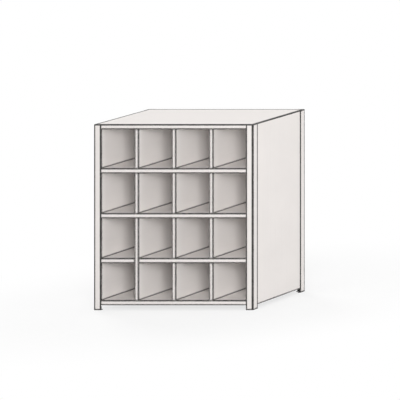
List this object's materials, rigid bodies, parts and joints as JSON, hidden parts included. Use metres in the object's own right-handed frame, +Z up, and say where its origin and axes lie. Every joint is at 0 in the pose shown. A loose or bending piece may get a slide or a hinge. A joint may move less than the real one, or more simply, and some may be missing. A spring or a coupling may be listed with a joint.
{
  "type": "pigeonhole mail sorter",
  "caption": "Free-standing sheet-steel mail sorter: angle posts on plastic feet carry folded shelves, and folded dividers part each row into pigeonholes open at the front.",
  "frame": {"origin": "on the floor, at the middle of the footprint", "axes": "+Z up; +X to the right as seen from the front; +Y to the back, so the pigeonholes open towards -Y"},
  "size_m": [0.9, 0.45, 1.05],
  "materials": {
    "post_paint": "satin powder coat, fine orange peel",
    "shelf_paint": "satin powder coat, fine orange peel",
    "divider_paint": "satin powder coat, fine orange peel",
    "panel_paint": "satin powder coat, fine orange peel",
    "zinc": "bright zinc plate",
    "foot_plastic": "moulded matt"
  },
  "bodies": {
    "root": {"back_panel": "panel_paint", "back_panel_screws": "zinc", "bottom_shelf": "shelf_paint", "divider_1_row_1": "divider_paint", "divider_1_row_2": "divider_paint", "divider_2_row_1": "divider_paint", "divider_2_row_2": "divider_paint", "divider_2_row_3": "divider_paint", "divider_2_row_4": "divider_paint", "divider_3_row_1": "divider_paint", "divider_3_row_2": "divider_paint", "divider_3_row_3": "divider_paint", "divider_3_row_4": "divider_paint", "foot_front_left": "foot_plastic", "foot_front_right": "foot_plastic", "foot_rear_left": "foot_plastic", "foot_rear_right": "foot_plastic", "joint_bolts": "zinc", "joint_nuts": "zinc", "liner_left_row_1": "divider_paint", "liner_left_row_2": "divider_paint", "liner_left_row_3": "divider_paint", "liner_left_row_4": "divider_paint", "liner_right_row_1": "divider_paint", "liner_right_row_2": "divider_paint", "liner_right_row_3": "divider_paint", "liner_right_row_4": "divider_paint", "post_front_left": "post_paint", "post_front_right": "post_paint", "post_rear_left": "post_paint", "post_rear_right": "post_paint", "post_studs": "zinc", "shelf_1": "shelf_paint", "shelf_2": "shelf_paint", "shelf_3_left": "shelf_paint", "shelf_3_right": "shelf_paint", "side_panel_left": "panel_paint", "side_panel_right": "panel_paint", "stud_nuts": "zinc", "tall_divider": "divider_paint", "top_shelf": "shelf_paint"}
  },
  "joints": []
}
